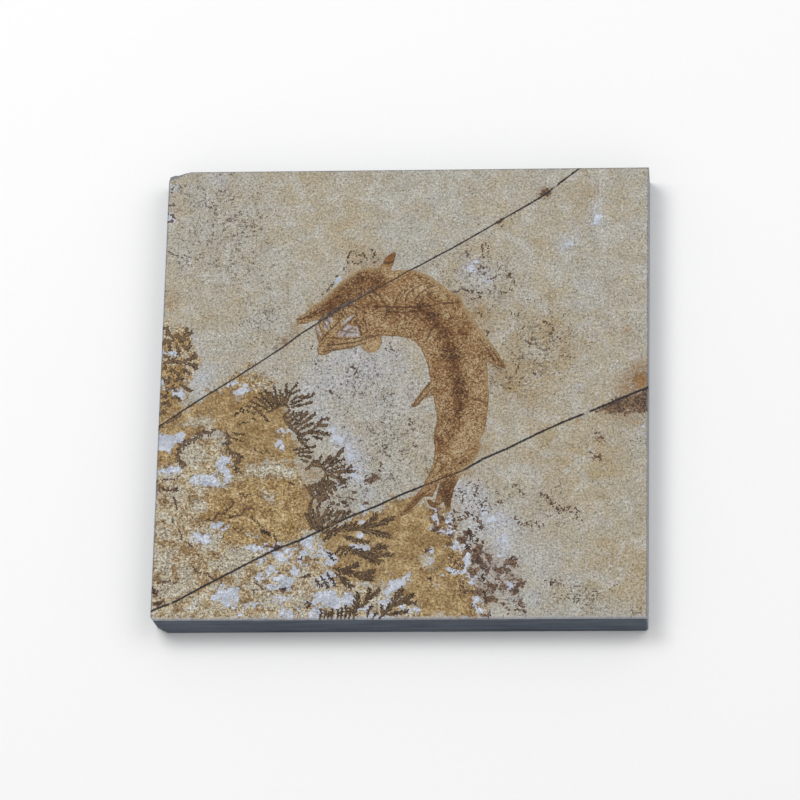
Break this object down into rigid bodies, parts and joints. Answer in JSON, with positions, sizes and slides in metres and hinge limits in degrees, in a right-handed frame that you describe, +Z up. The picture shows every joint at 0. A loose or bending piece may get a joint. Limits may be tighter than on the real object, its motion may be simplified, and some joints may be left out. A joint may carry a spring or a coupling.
{
  "type": "fossil fish slab",
  "caption": "Square sawn limestone plate bearing a curled fossil fish in low relief, with hairline joints across its face, dendrites, ochre stains and chipped corners.",
  "frame": {"origin": "centre of the square underside, on the surface that the slab lies on", "axes": "+Z up out of the fossil-bearing face; +X to the right and +Y towards the edge that is at the top when it is displayed"},
  "size_m": [0.2, 0.2, 0.0154],
  "materials": {
    "limestone": "matte fine-grained stone, beige grey with ochre and bluish stains",
    "fossil_fish": "dull granular brown film of fossil skin and bone",
    "dendrite_crust": "matte dark brown manganese and iron oxide crust"
  },
  "bodies": {
    "root": {"fossil_slab": "limestone"}
  },
  "joints": []
}
